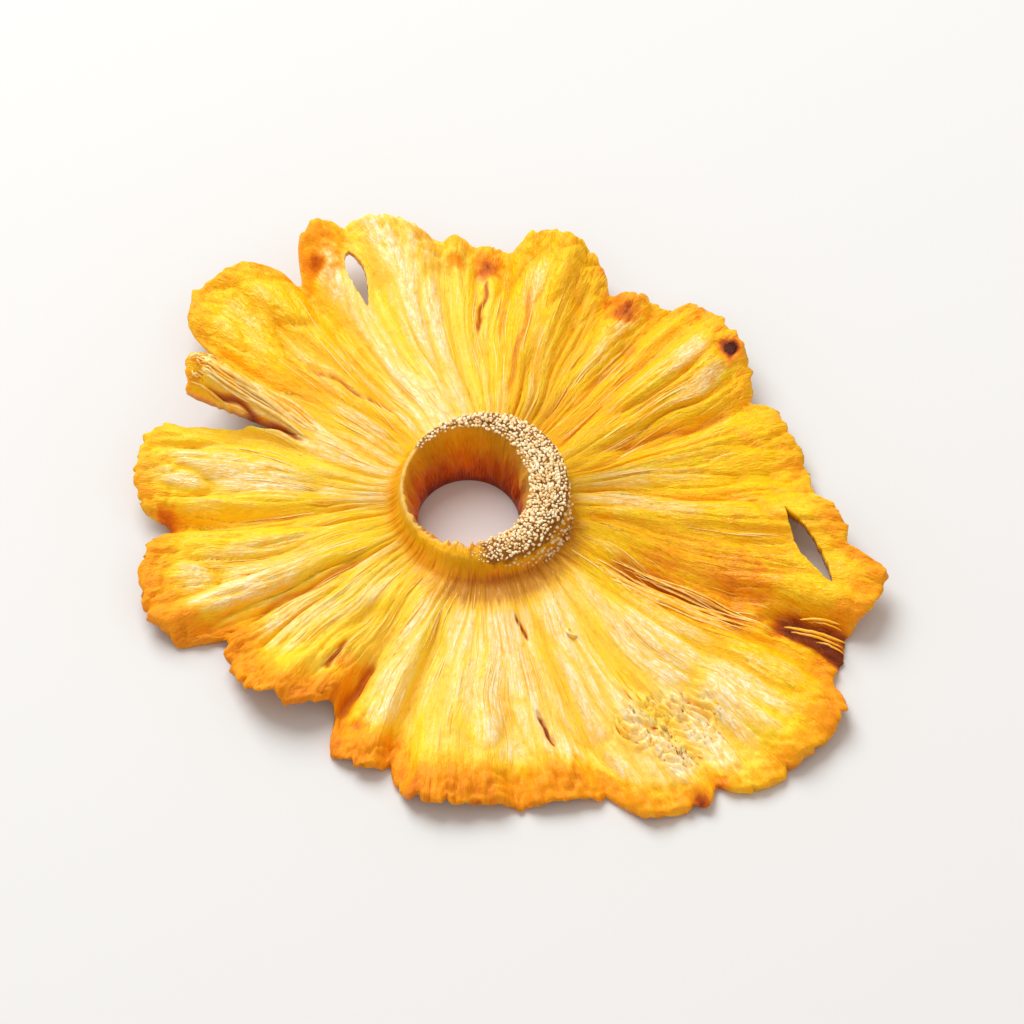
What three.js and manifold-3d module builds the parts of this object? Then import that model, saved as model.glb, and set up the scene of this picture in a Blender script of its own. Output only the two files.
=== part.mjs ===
// A dried pineapple ring, lying flat: one thin ruffled slice of flesh round a raised collar of core fibre.
// Millimetres, +Z up. The slice rests on z = 0, and its box is centred on the origin.
import * as THREE from "three";
import { mergeVertices } from "three/addons/utils/BufferGeometryUtils.js";
import Module from "manifold-3d";

// Where the hole's axis stands.
const HUB = new THREE.Vector2(-3.2, 0.4);

// The collar: what is left of the core. Its hole widens upwards and sits off the hub, towards HOLE_LEANS, so
// that the crown is thin there and broad on the other side. The crown is highest towards CROWN_FACES.
const HOLE_RADIUS = 6.0;
const HOLE_FLARE = 1.3;
const HOLE_OFFSET = 1.9;
const HOLE_LEANS = 184;
const COLLAR_RADIUS = 9.7;
const COLLAR_HEIGHT = 7.9;
const COLLAR_HEIGHT_SWING = 0.7;
const CROWN_FACES = 70;
const CROWN_DOME = 0.22;
const COLLAR_SLOPE = 1.2;
const COLLAR_SLOPE_SWING = 0.5;
const SHOULDER = { out: 0.6, down: 0.75 };
const COLLAR_SOLE = 2.2;

// The flesh: a sheet that leaves the collar at FOOT_HEIGHT and thins towards its rim.
const FOOT_HEIGHT = 4.7;
const FLESH_THICKNESS = 2.5;
const RIM_THICKNESS = 1.3;
const RIM_ROUND = 0.45;
const SAG_POWER = 1.5;
const PETAL_PUFF = 0.9;
const FOLD_WIDTH = 1.5;
const FOLD_GROWS = [0.05, 0.5];
const CLEFT_WIDTH = 1.7;
const PETAL_SOFTNESS = 0.8;

// Petals are the wedges of single fruitlets, anticlockwise seen from above, angles in degrees from +X.
// to: where the petal ends. reach: distance from the hub to its rim at its start, middle and end.
// rise: height of that rim above the table. cleft: depth of the nick in the rim after the petal.
// fold: depth of the crease that runs inwards from that nick.
const FIRST_PETAL_FROM = 3.5;
const PETALS = [
  { to: 25.5, reach: [38.9, 37.9, 36.4], rise: [2.4, 3.0, 3.6], cleft: 0.6, fold: 0.9 },
  { to: 51.5, reach: [34.8, 38.0, 38.0], rise: [3.8, 5.0, 4.4], cleft: 0.4, fold: 0.8 },
  { to: 63.5, reach: [35.4, 34.2, 33.6], rise: [3.8, 3.4, 3.6], cleft: 0.6, fold: 0.7 },
  { to: 84.8, reach: [33.4, 37.8, 38.0], rise: [4.4, 6.0, 5.2], cleft: 1.0, fold: 0.8 },
  { to: 99.0, reach: [38.0, 38.0, 38.0], rise: [3.8, 3.2, 4.4], cleft: 0.4, fold: 0.5 },
  { to: 113.5, reach: [37.8, 40.2, 41.8], rise: [5.8, 7.4, 6.8], cleft: 0.4, fold: 0.6 },
  { to: 124.8, reach: [41.6, 42.2, 40.0], rise: [6.6, 7.2, 5.2], cleft: 1.6, fold: 1.0 },
  { to: 147.5, reach: [39.2, 44.2, 42.0], rise: [4.6, 5.4, 6.0], cleft: 1.6, fold: 0.9 },
  { to: 161.5, reach: [35.8, 38.8, 36.2], rise: [7.0, 8.4, 7.4], cleft: 0.0, fold: 0.0 },
  { to: 182.5, reach: [39.0, 40.8, 38.2], rise: [4.4, 4.4, 3.8], cleft: 1.2, fold: 0.9 },
  { to: 208.0, reach: [36.2, 40.4, 39.0], rise: [3.4, 3.0, 2.6], cleft: 1.4, fold: 0.9 },
  { to: 238.0, reach: [32.8, 35.6, 29.8], rise: [3.0, 3.6, 4.4], cleft: 0.0, fold: 1.2 },
  { to: 253.0, reach: [33.8, 35.6, 34.0], rise: [1.4, 1.8, 1.6], cleft: 0.9, fold: 0.9 },
  { to: 291.0, reach: [37.6, 38.4, 39.2], rise: [2.2, 2.2, 1.6], cleft: 0.4, fold: 0.6 },
  { to: 306.0, reach: [40.4, 45.0, 46.4], rise: [1.4, 1.3, 1.4], cleft: 1.2, fold: 0.6 },
  { to: 331.5, reach: [46.2, 48.6, 48.4], rise: [1.9, 1.7, 2.2], cleft: 1.6, fold: 1.0 },
  { to: 339.4, reach: [45.2, 45.2, 44.8], rise: [1.5, 1.3, 1.6], cleft: 1.2, fold: 0.8 },
  { to: 350.2, reach: [46.8, 47.0, 48.8], rise: [3.0, 4.6, 5.0], cleft: 0.0, fold: 0.0 },
  { to: 363.5, reach: [42.4, 41.0, 38.0], rise: [4.8, 4.4, 3.4], cleft: 0.0, fold: 0.6 },
];

// Ruffles run across the sheet and grow towards the rim: waves round the ring, height, phase in degrees,
// and by how many degrees of phase each wave leans over from collar to rim.
const RUFFLES = [
  { waves: 11, height: 0.45, phase: 40, lean: 60 },
  { waves: 19, height: 0.4, phase: 160, lean: -80 },
  { waves: 31, height: 0.35, phase: 250, lean: 90 },
  { waves: 47, height: 0.22, phase: 10, lean: -120 },
];
// The same sort of waves ruffle the outline.
const FRAYS = [
  { waves: 26, height: 0.35, phase: 70 },
  { waves: 43, height: 0.3, phase: 200 },
  { waves: 59, height: 0.22, phase: 20 },
];

// Grooves where the flesh has shrunk between fibre bundles: their angle, how far they lean by the rim, from
// and to in shares of the flesh's width, and depth.
const GROOVES = [
  { at: 126, lean: 12, from: 0.1, to: 0.75, depth: 0.9 },
  { at: 88, lean: 4, from: 0.1, to: 0.95, depth: 0.7 },
  { at: 75, lean: -3, from: 0.15, to: 0.8, depth: 0.5 },
  { at: 153, lean: 3, from: 0.3, to: 0.95, depth: 1.0 },
  { at: 34, lean: 2, from: 0.3, to: 0.85, depth: 0.6 },
  { at: 191, lean: 4, from: 0.2, to: 0.8, depth: 0.7 },
  { at: 232, lean: -8, from: 0.25, to: 0.8, depth: 1.1 },
  { at: 283, lean: 2, from: 0.1, to: 0.9, depth: 0.6 },
  { at: 334, lean: 2, from: 0.2, to: 0.95, depth: 1.0 },
];
const GROOVE_WIDTH = 1.3;
const GROOVE_ENDS = 0.15;

// A lip of flesh is rolled up along the upper side of the slit.
const ROLL = { at: 156.0, width: 2.8, from: 0.42, full: 0.8, height: 1.8 };

// Cuts right through the slice, in the frame of the hub: wedges that open from an apex (distance, angle) to
// two angles at the rim, and slots from one point to another. fullest: 1 for a slot that is widest half way,
// less for one that is widest nearer its start.
const WEDGES = [
  { apex: [22.9, 157.4], angles: [160.5, 166.7] },
  { apex: [38.0, 336.0], angles: [336.2, 340.0] },
];
const SLOTS = [
  { from: [34.8, -1.0], to: [40.1, -10.8], width: 2.3, fullest: 1.0 },
  { from: [-16.2, 34.7], to: [-13.8, 26.6], width: 2.4, fullest: 0.7 },
];
const SLOT_POINTS = 7;
const WEDGE_END = 55;
const CUT_HEIGHT = 30;

// How finely the slice is stepped round the ring and along its section.
const STEPS_AROUND = 172;
const WALL_STEPS = 2;
const CROWN_STEPS = 4;
const TOP_STEPS = 12;
const UNDER_STEPS = 7;

const FULL_TURN = 360;
const SAME_POINT = 1e-4;
const COLOUR = 0xf0a818;

const radians = THREE.MathUtils.degToRad;
const mix = THREE.MathUtils.lerp;
const smooth = THREE.MathUtils.smoothstep;

// Degrees from one angle to another, the short way round.
const turn = (from, to) => THREE.MathUtils.euclideanModulo(to - from + 180, FULL_TURN) - 180;

const bell = (x) => Math.exp(-x * x);

// The curve through three values at t = 0, 1/2 and 1.
const through = ([a, b, c], t) => a * (1 - t) * (1 - 2 * t) + 4 * b * t * (1 - t) + c * t * (2 * t - 1);

// Each petal with where it starts.
const petals = PETALS.map((petal, i) => ({ ...petal, from: i ? PETALS[i - 1].to : FIRST_PETAL_FROM }));

// A petal quantity at an angle, eased from one petal to the next.
function overPetals(angle, quantity) {
  let sum = 0;
  let total = 0;
  for (const petal of petals) {
    const half = (petal.to - petal.from) / 2;
    const off = turn(petal.from + half, angle);
    const inside = 1 / (1 + Math.exp((Math.abs(off) - half) / PETAL_SOFTNESS));
    const t = THREE.MathUtils.clamp(0.5 + off / (2 * half), -0.1, 1.1);
    sum += inside * quantity(petal, t);
    total += inside;
  }
  return sum / total;
}

const wave = ({ waves, height, phase }, angle) => height * Math.sin(radians(waves * angle + phase));

// Distance from the hub to the rim.
function reach(angle) {
  let r = overPetals(angle, (petal, t) => through(petal.reach, t));
  for (const petal of petals) r -= petal.cleft * bell(turn(petal.to, angle) / CLEFT_WIDTH);
  for (const fray of FRAYS) r += wave(fray, angle);
  return r;
}

// Distance from the hub to a circle that stands off the hub.
function toHole(angle, radius) {
  const off = radians(turn(HOLE_LEANS, angle));
  return HOLE_OFFSET * Math.cos(off) + Math.sqrt(radius ** 2 - (HOLE_OFFSET * Math.sin(off)) ** 2);
}

// The collar's own radii and height at an angle.
function collar(angle) {
  const thin = Math.cos(radians(turn(HOLE_LEANS, angle)));
  return {
    hole: toHole(angle, HOLE_RADIUS),
    lip: toHole(angle, HOLE_RADIUS + HOLE_FLARE),
    foot: COLLAR_RADIUS + COLLAR_SLOPE + COLLAR_SLOPE_SWING * thin,
    height: COLLAR_HEIGHT + COLLAR_HEIGHT_SWING * Math.cos(radians(turn(CROWN_FACES, angle))),
  };
}

// How far a petal's middle stands above its edges.
const puff = (petal, t) => PETAL_PUFF * (Math.sin(Math.PI * THREE.MathUtils.clamp(t, 0, 1)) - 0.5);

// How much of a groove's depth there is at a share of the way out.
const groovePart = ({ from, to }, share) =>
  smooth(share, from, from + GROOVE_ENDS) * (1 - smooth(share, to - GROOVE_ENDS, to));

// Height of the sheet's upper face, at a share of the way from the collar's foot to the rim.
function upperFace(angle, share) {
  const r = mix(collar(angle).foot, reach(angle), share);
  const arc = (at) => radians(turn(at, angle)) * r;
  const grown = smooth(share, 0, 1);
  const rim = overPetals(angle, (petal, t) => through(petal.rise, t));
  let z = mix(FOOT_HEIGHT, rim, share ** SAG_POWER) + grown * overPetals(angle, puff);
  for (const ruffle of RUFFLES) {
    z += grown * wave(ruffle, angle + (ruffle.lean * share) / ruffle.waves);
  }
  for (const { to, fold } of petals) {
    z -= fold * smooth(share, ...FOLD_GROWS) * bell(arc(to) / FOLD_WIDTH);
  }
  for (const groove of GROOVES) {
    const across = arc(groove.at + groove.lean * share);
    z -= groove.depth * groovePart(groove, share) * bell(across / GROOVE_WIDTH);
  }
  return z + ROLL.height * smooth(share, ROLL.from, ROLL.full) * bell(arc(ROLL.at) / ROLL.width);
}

// The sheet's two faces at an angle and share. Where the sheet would hang below the table, it lies on it.
function sheet(angle, share) {
  const thickness = mix(FLESH_THICKNESS, RIM_THICKNESS, share);
  const z = upperFace(angle, share);
  const under = Math.max(0, z - thickness);
  return { upper: Math.max(z, under + RIM_THICKNESS), under };
}

// The closed section of the slice at an angle, as (distance from the hub, height): up the hole's wall, over
// the crown and the flesh, round the rim and back underneath. It is handed over backwards, so that the
// lathe's faces point outwards.
function section(angle) {
  const { hole, lip, height, foot } = collar(angle);
  const rim = reach(angle);
  const points = [];
  for (let i = 0; i <= WALL_STEPS; i += 1) {
    const up = i / WALL_STEPS;
    points.push([mix(hole, lip, up ** 2), height * up]);
  }
  const crown = COLLAR_RADIUS - lip;
  for (let i = 1; i <= CROWN_STEPS; i += 1) {
    const across = i / CROWN_STEPS;
    points.push([lip + crown * across, height + CROWN_DOME * crown * Math.sin(Math.PI * across)]);
  }
  points.push([mix(COLLAR_RADIUS, foot, SHOULDER.out), mix(height, FOOT_HEIGHT, SHOULDER.down)]);
  for (let i = 0; i <= TOP_STEPS; i += 1) {
    const share = i / TOP_STEPS;
    const r = mix(foot, rim - RIM_ROUND, share);
    points.push([r, sheet(angle, share).upper]);
  }
  const { upper, under } = sheet(angle, 1);
  points.push([rim, (upper + under) / 2]);
  for (let i = UNDER_STEPS; i >= 0; i -= 1) {
    const share = i / UNDER_STEPS;
    const r = mix(foot, rim - RIM_ROUND, share);
    points.push([r, sheet(angle, share).under]);
  }
  points.push([hole + COLLAR_SOLE, 0], points[0]);
  return points.reverse();
}

// The whole slice before its cuts: a lathe, each of whose rows is then given the section at its own angle.
function ruffledSlice() {
  const profile = section(0).map(([r, z]) => new THREE.Vector2(r, z));
  const geometry = new THREE.LatheGeometry(profile, STEPS_AROUND);
  const position = geometry.getAttribute("position");
  for (let step = 0; step <= STEPS_AROUND; step += 1) {
    const angle = (FULL_TURN * (step % STEPS_AROUND)) / STEPS_AROUND;
    const [x, y] = [Math.cos(radians(angle)), Math.sin(radians(angle))];
    section(angle).forEach(([r, z], row) => {
      position.setXYZ(step * profile.length + row, r * x, r * y, z);
    });
  }
  return geometry;
}

// A prism that stands on an outline, tall enough to cut right through the slice.
function cutter(outline) {
  const shape = new THREE.Shape(outline);
  const geometry = new THREE.ExtrudeGeometry(shape, { depth: CUT_HEIGHT, bevelEnabled: false });
  return geometry.translate(0, 0, -CUT_HEIGHT / 2);
}

const polar = (radius, angle) =>
  new THREE.Vector2(radius * Math.cos(radians(angle)), radius * Math.sin(radians(angle)));

// A gap that opens from a point in the flesh out past the rim.
const wedge = ({ apex, angles }) => [polar(...apex), ...angles.map((angle) => polar(WEDGE_END, angle))];

// A slot with pointed ends.
function lens({ from, to, width, fullest }) {
  const start = new THREE.Vector2(...from);
  const along = new THREE.Vector2(...to).sub(start);
  const across = new THREE.Vector2(-along.y, along.x).normalize();
  const side = (sign) =>
    Array.from({ length: SLOT_POINTS }, (_, i) => {
      const t = sign < 0 ? i / SLOT_POINTS : 1 - i / SLOT_POINTS;
      const out = (sign * width * Math.sin(Math.PI * t ** fullest)) / 2;
      return start.clone().addScaledVector(along, t).addScaledVector(across, out);
    });
  return [...side(-1), ...side(1)];
}

const wasm = await Module();
wasm.setup();

function solid(geometry) {
  const bare = geometry.clone();
  bare.deleteAttribute("normal");
  bare.deleteAttribute("uv");
  const merged = mergeVertices(bare, SAME_POINT);
  return new wasm.Manifold(
    new wasm.Mesh({
      numProp: 3,
      vertProperties: new Float32Array(merged.getAttribute("position").array),
      triVerts: new Uint32Array(merged.index.array),
    }),
  );
}

function geometryOf(manifold) {
  const mesh = manifold.getMesh();
  const geometry = new THREE.BufferGeometry();
  geometry.setAttribute("position", new THREE.BufferAttribute(mesh.vertProperties, mesh.numProp));
  geometry.setIndex(new THREE.BufferAttribute(mesh.triVerts, 1));
  geometry.computeVertexNormals();
  return geometry;
}

function pineappleRing() {
  const cuts = [...WEDGES.map(wedge), ...SLOTS.map(lens)].map((outline) => solid(cutter(outline)));
  const slice = cuts.reduce((left, cut) => left.subtract(cut), solid(ruffledSlice()));
  const flesh = new THREE.MeshStandardMaterial({ color: COLOUR, roughness: 0.5, metalness: 0 });
  const mesh = new THREE.Mesh(geometryOf(slice), flesh);
  mesh.name = "pineapple_ring";
  mesh.position.set(HUB.x, HUB.y, 0);
  return mesh;
}

const part = new THREE.Group();
part.add(pineappleRing());

export default part;
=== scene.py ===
# %% [markdown]
# A dried pineapple ring.
#
# A pineapple ring is one slice across the fruit with its core cut out. As it dries, the flesh shrinks to a thin
# ruffled sheet of radial fibres, while the woody rest of the core hardly shrinks at all and is left standing as a
# raised collar round the hole. This lesson makes the slice, the cut fibre ends on its collar and its loose
# threads, then its finishes, and last the floor, the lights and the camera.

# %% Load the frame
import math
from collections import namedtuple

import bmesh
import bpy
import numpy as np
from mathutils import Matrix, Vector
from mathutils.bvhtree import BVHTree


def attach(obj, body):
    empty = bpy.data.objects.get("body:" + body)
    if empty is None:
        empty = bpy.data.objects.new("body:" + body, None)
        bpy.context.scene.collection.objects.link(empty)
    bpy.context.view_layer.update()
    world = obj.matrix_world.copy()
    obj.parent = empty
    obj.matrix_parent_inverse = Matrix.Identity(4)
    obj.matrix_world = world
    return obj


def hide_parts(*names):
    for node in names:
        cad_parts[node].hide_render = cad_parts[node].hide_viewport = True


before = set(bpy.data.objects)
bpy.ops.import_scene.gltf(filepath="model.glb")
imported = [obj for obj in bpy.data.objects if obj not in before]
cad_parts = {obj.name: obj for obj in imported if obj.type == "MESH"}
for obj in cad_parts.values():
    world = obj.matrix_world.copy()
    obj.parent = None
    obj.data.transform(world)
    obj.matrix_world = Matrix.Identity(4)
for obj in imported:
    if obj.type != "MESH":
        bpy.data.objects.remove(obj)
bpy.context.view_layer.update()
MM = 0.001

# %% [markdown]
# The slice is described the way it grew: as wedges of flesh, one for each fruitlet, that fan out from the core.
# Each petal has a reach (how far its rim is from the hub) and a rise (how high the rim stands above the table),
# both given at its start, middle and end. A list of petals is easier to adjust against the real fruit than a
# freely drawn outline, because each number moves just one petal.

# %% The petals, in millimetres and degrees
HUB = Vector((-3.2, 0.4))
Petal = namedtuple("Petal", "start end reach rise cleft fold")
PETAL_ENDS = [
    (25.5, (38.9, 37.9, 36.4), (2.4, 3.0, 3.6), 0.6, 0.9),
    (51.5, (34.8, 38.0, 38.0), (3.8, 5.0, 4.4), 0.4, 0.8),
    (63.5, (35.4, 34.2, 33.6), (3.8, 3.4, 3.6), 0.6, 0.7),
    (84.8, (33.4, 37.8, 38.0), (4.4, 6.0, 5.2), 1.0, 0.8),
    (99.0, (38.0, 38.0, 38.0), (3.8, 3.2, 4.4), 0.4, 0.5),
    (113.5, (37.8, 40.2, 41.8), (5.8, 7.4, 6.8), 0.4, 0.6),
    (124.8, (41.6, 42.2, 40.0), (6.6, 7.2, 5.2), 1.6, 1.0),
    (147.5, (39.2, 44.2, 42.0), (4.6, 5.4, 6.0), 1.6, 0.9),
    (161.5, (35.8, 38.8, 36.2), (7.0, 8.4, 7.4), 0.0, 0.0),
    (182.5, (39.0, 40.8, 38.2), (4.4, 4.4, 3.8), 1.2, 0.9),
    (208.0, (36.2, 40.4, 39.0), (3.4, 3.0, 2.6), 1.4, 0.9),
    (238.0, (32.8, 35.6, 29.8), (3.0, 3.6, 4.4), 0.0, 1.2),
    (253.0, (33.8, 35.6, 34.0), (1.4, 1.8, 1.6), 0.9, 0.9),
    (291.0, (37.6, 38.4, 39.2), (2.2, 2.2, 1.6), 0.4, 0.6),
    (306.0, (40.4, 45.0, 46.4), (1.4, 1.3, 1.4), 1.2, 0.6),
    (331.5, (46.2, 48.6, 48.4), (1.9, 1.7, 2.2), 1.6, 1.0),
    (339.4, (45.2, 45.2, 44.8), (1.5, 1.3, 1.6), 1.2, 0.8),
    (350.2, (46.8, 47.0, 48.8), (3.0, 4.6, 5.0), 0.0, 0.0),
    (363.5, (42.4, 41.0, 38.0), (4.8, 4.4, 3.4), 0.0, 0.6),
]
starts = [PETAL_ENDS[-1][0] - 360] + [row[0] for row in PETAL_ENDS[:-1]]
PETALS = [Petal(start, *row) for start, row in zip(starts, PETAL_ENDS)]
PETAL_SOFTNESS = 0.8
PETAL_PUFF = 0.9
FOLD_WIDTH = 1.5
CLEFT_WIDTH = 1.7
print(len(PETALS), "petals")

# %% A few curves that the shapes are written in


def turn(start, end):
    """Degrees from one angle to another, the short way round."""
    return (end - start + 180) % 360 - 180


def ease(x, low=0.0, high=1.0):
    """0 below low, 1 above high, and a smooth step between them."""
    t = np.clip((x - low) / (high - low), 0, 1)
    return t * t * (3 - 2 * t)


def bell(x):
    return np.exp(-x * x)


def mix(a, b, t):
    return a + (b - a) * t


def through(values, t):
    """The curve through three values at t = 0, 1/2 and 1."""
    a, b, c = values
    return a * (1 - t) * (1 - 2 * t) + 4 * b * t * (1 - t) + c * t * (2 * t - 1)


def over_petals(angle, quantity):
    """A quantity of the petals at each angle, eased from one petal to the next."""
    total, weight = 0, 0
    for petal in PETALS:
        half = (petal.end - petal.start) / 2
        off = turn(petal.start + half, angle)
        inside = 1 / (1 + np.exp((np.abs(off) - half) / PETAL_SOFTNESS))
        total = total + inside * quantity(petal, np.clip(0.5 + off / (2 * half), -0.1, 1.1))
        weight = weight + inside
    return total / weight


print("ease at 0.25:", ease(0.25), "and bell at 1:", round(bell(1), 3))


# %% [markdown]
# Nothing on dried fruit is regular, so the finer forms come from random heights. The usual way is a cloud or
# Musgrave texture, but here the fibres must run outwards from the hub and must join up after a full turn. A small
# table of random numbers that is read with smooth steps between its cells does both: its columns go round the
# ring, its rows go outwards, and the last column meets the first.

# %% Random heights that close on themselves round the ring


def uneven(round_the_ring, outwards, cells, seed, rows=24):
    """Smooth random heights from -1 to 1: one cell for each step of outwards, and cells of them in a turn."""
    table = np.random.default_rng(seed).uniform(-1, 1, (cells, rows))
    across = (round_the_ring / 360 % 1) * cells
    i = np.floor(across).astype(int)
    j = np.floor(outwards).astype(int)
    u = ease(across - i)
    v = ease(outwards - j)
    near = mix(table[i % cells, j % rows], table[(i + 1) % cells, j % rows], u)
    far = mix(table[i % cells, (j + 1) % rows], table[(i + 1) % cells, (j + 1) % rows], u)
    return mix(near, far, v)


def lumps(x, y, size, seed, cells=96):
    """The same on a plane: heights from -1 to 1 in round lumps of that size."""
    return uneven(x / size / cells * 360, y / size + cells, cells, seed, rows=cells)


def place(angle, r):
    """Where that is on the table, from the hub."""
    return r * np.cos(np.radians(angle)), r * np.sin(np.radians(angle))


WANDER = 1.1


def wandered(angle, r):
    """The angle, moved sideways a little, so that the fibres aren't straight."""
    drift = uneven(angle, r / 13, 13, 31) + 0.35 * uneven(angle, r / 5, 37, 32)
    return angle + np.degrees(WANDER * drift / np.maximum(r, 8))


ends = [uneven(np.array(angle), np.array(2.5), 13, 31).item() for angle in (0.0, 360.0)]
print("a random height at 0 and at 360 degrees:", [round(end, 3) for end in ends])


# %% The collar and the sheet of flesh
HOLE_RADIUS, HOLE_FLARE, HOLE_OFFSET, HOLE_LEANS = 6.0, 1.3, 1.9, 184
LIP_WORN, LIP_WORN_AT, LIP_WORN_SPREAD = 0.9, 100, 50
COLLAR_RADIUS, COLLAR_HEIGHT, COLLAR_HEIGHT_SWING, CROWN_FACES = 9.7, 7.9, 0.7, 70
CROWN_DOME, COLLAR_SLOPE, COLLAR_SLOPE_SWING, COLLAR_SOLE = 0.22, 1.2, 0.5, 2.2
FOOT_HEIGHT, FLESH_THICKNESS, RIM_THICKNESS, SAG_POWER = 4.7, 2.5, 1.3, 1.5
RUFFLES = [(11, 0.45, 40, 60), (19, 0.4, 160, -80), (31, 0.35, 250, 90), (47, 0.22, 10, -120)]
FRAYS = [(37, 0.5, 51), (83, 0.4, 52)]
Groove = namedtuple("Groove", "at lean start end depth")
GROOVES = [
    Groove(126, 12, 0.1, 0.75, 0.9),
    Groove(88, 4, 0.1, 0.95, 0.7),
    Groove(75, -3, 0.15, 0.8, 0.5),
    Groove(153, 3, 0.3, 0.95, 1.0),
    Groove(34, 2, 0.3, 0.85, 0.6),
    Groove(191, 4, 0.2, 0.8, 0.7),
    Groove(232, -8, 0.25, 0.8, 1.1),
    Groove(283, 2, 0.1, 0.9, 0.6),
    Groove(334, 2, 0.2, 0.95, 1.0),
]
GROOVE_WIDTH, GROOVE_ENDS = 1.3, 0.15
ROLL_AT, ROLL_WIDTH, ROLL_FROM, ROLL_FULL, ROLL_HEIGHT = 156.0, 2.8, 0.42, 0.8, 1.8


def to_hole(angle, radius):
    """Distance from the hub to a circle of that radius that stands off the hub."""
    off = np.radians(turn(HOLE_LEANS, angle))
    return HOLE_OFFSET * np.cos(off) + np.sqrt(radius**2 - (HOLE_OFFSET * np.sin(off)) ** 2)


def lip_of(angle):
    """Distance from the hub to the hole's upper edge, which is worn back on the far side."""
    return to_hole(angle, HOLE_RADIUS + HOLE_FLARE) + LIP_WORN * bell(turn(LIP_WORN_AT, angle) / LIP_WORN_SPREAD)


def foot(angle):
    return COLLAR_RADIUS + COLLAR_SLOPE + COLLAR_SLOPE_SWING * np.cos(np.radians(turn(HOLE_LEANS, angle)))


def crown_height(angle):
    return COLLAR_HEIGHT + COLLAR_HEIGHT_SWING * np.cos(np.radians(turn(CROWN_FACES, angle)))


def reach(angle):
    """Distance from the hub to the rim."""
    r = over_petals(angle, lambda petal, t: through(petal.reach, t))
    for petal in PETALS:
        r = r - petal.cleft * bell(turn(petal.end, angle) / CLEFT_WIDTH)
    for cells, depth, seed in FRAYS:
        r = r + depth * uneven(angle, 0 * angle, cells, seed)
    return r


def groove_part(groove, share):
    """How much of a groove's depth there is at a share of the way out."""
    starts_in = ease(share, groove.start, groove.start + GROOVE_ENDS)
    return starts_in * (1 - ease(share, groove.end - GROOVE_ENDS, groove.end))


def valleys(angle, r, share, fold_width, groove_width):
    """Depth of the folds between the petals and of the grooves."""
    at, depth = wandered(angle, r), 0
    for petal in PETALS:
        apart = np.radians(turn(petal.end, at)) * r
        depth = depth + petal.fold * ease(share, 0.05, 0.5) * bell(apart / fold_width)
    for groove in GROOVES:
        apart = np.radians(turn(groove.at + groove.lean * share, at)) * r
        depth = depth + groove.depth * groove_part(groove, share) * bell(apart / groove_width)
    return depth


def sheet_height(angle, share):
    """Height of the sheet's upper face, before its fibres, at a share of the way from collar to rim."""
    r = mix(foot(angle), reach(angle), share)
    grown = ease(share)
    rim = over_petals(angle, lambda petal, t: through(petal.rise, t))
    puff = over_petals(angle, lambda petal, t: np.sin(np.pi * np.clip(t, 0, 1)) - 0.5)
    z = mix(FOOT_HEIGHT, rim, share**SAG_POWER) + grown * PETAL_PUFF * puff
    for waves, height, phase, lean in RUFFLES:
        z = z + grown * height * np.sin(np.radians(waves * angle + phase + lean * share))
    z = z - valleys(angle, r, share, FOLD_WIDTH, GROOVE_WIDTH)
    apart = np.radians(turn(ROLL_AT, angle)) * r
    return z + ROLL_HEIGHT * ease(share, ROLL_FROM, ROLL_FULL) * bell(apart / ROLL_WIDTH)


sample = np.arange(0.0, 360, 1)
print("rim from", reach(sample).min().round(1), "to", reach(sample).max().round(1), "mm from the hub")

# %% [markdown]
# Close up, the flesh is bundles of fibre. The bundles are round on top with sharp narrow furrows between them, so
# the height falls steeply where a random height passes through zero, which gives long lines that wander, fork and
# meet. As the bundles spread outwards, new ones appear between them, so the count goes up with the distance from
# the hub. Near the rim the fibres end in crumbs of flesh, which are round lumps.

# %% Bundles, furrows and crumbs
BROAD_CELLS, INNER_CELLS, OUTER_CELLS = 64, 130, 240
BROAD_DEPTH, BUNDLE_DEPTH, CRUMB_DEPTH = 0.8, 0.5, 0.5
FURROW_WIDTH, CRUMBS_FROM, CRUMBS_FULL, LONG_CRACK = 0.2, 0.8, 0.98, 14
SWIRLS = [
    # angle, distance from the hub, size
    (309.5, 36.2, 4.4),
    (301.5, 34.4, 3.4),
    (305.5, 30.8, 2.4),
    (304.5, 39.4, 2.6),
]
SWIRL_PITCH, SWIRL_DEPTH, SWIRL_SQUASH = 1.35, 0.95, 1.25
SWIRL_STRAYS = [
    # how far the wrinkles stray, the size of the lumps they stray round, seed
    (2.2, 2.6, 64),
    (0.8, 1.3, 65),
]
BROWNED = [
    # angle, how browned the rim is there
    (0, 0.5), (30, 0.55), (60, 0.5), (90, 0.4), (112, 0.15), (120, 0.7), (150, 0.45), (180, 0.5), (203, 1.0),
    (245, 1.05), (287, 1.05), (300, 0.5), (315, 0.5), (328, 0.85), (350, 0.75),
]
TORN = [
    # angle, how torn the rim is there
    (0, 0.3), (45, 0.15), (58, 0.4), (75, 0.45), (90, 0.4), (140, 0.4), (180, 0.6), (225, 1.0), (250, 1.0),
    (262, 0.5), (285, 0.4), (300, 0.5), (318, 0.5), (335, 1.0), (350, 0.4),
]
PALE = [
    # angle, how pale the flesh is there
    (0, 0.3), (28, 0.18), (58, 0.12), (78, 0.12), (88, 0.75), (97, 1.0), (112, 1.2), (122, 1.1), (127, 0.5),
    (145, 0.3), (154, 0.8), (166, 0.85), (178, 0.65), (205, 0.7), (228, 0.85), (248, 0.95), (285, 1.15),
    (305, 0.98), (320, 0.8), (327, 0.3), (338, 0.0), (352, 0.2),
]
SHADED = [
    # angle, how strongly the collar's painted shadow darkens the flesh at its foot
    (0, 0.35), (60, 0.15), (90, 0.0), (160, 0.0), (200, 0.3), (235, 0.7), (262, 1.3), (300, 1.3), (335, 1.0),
]
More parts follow.
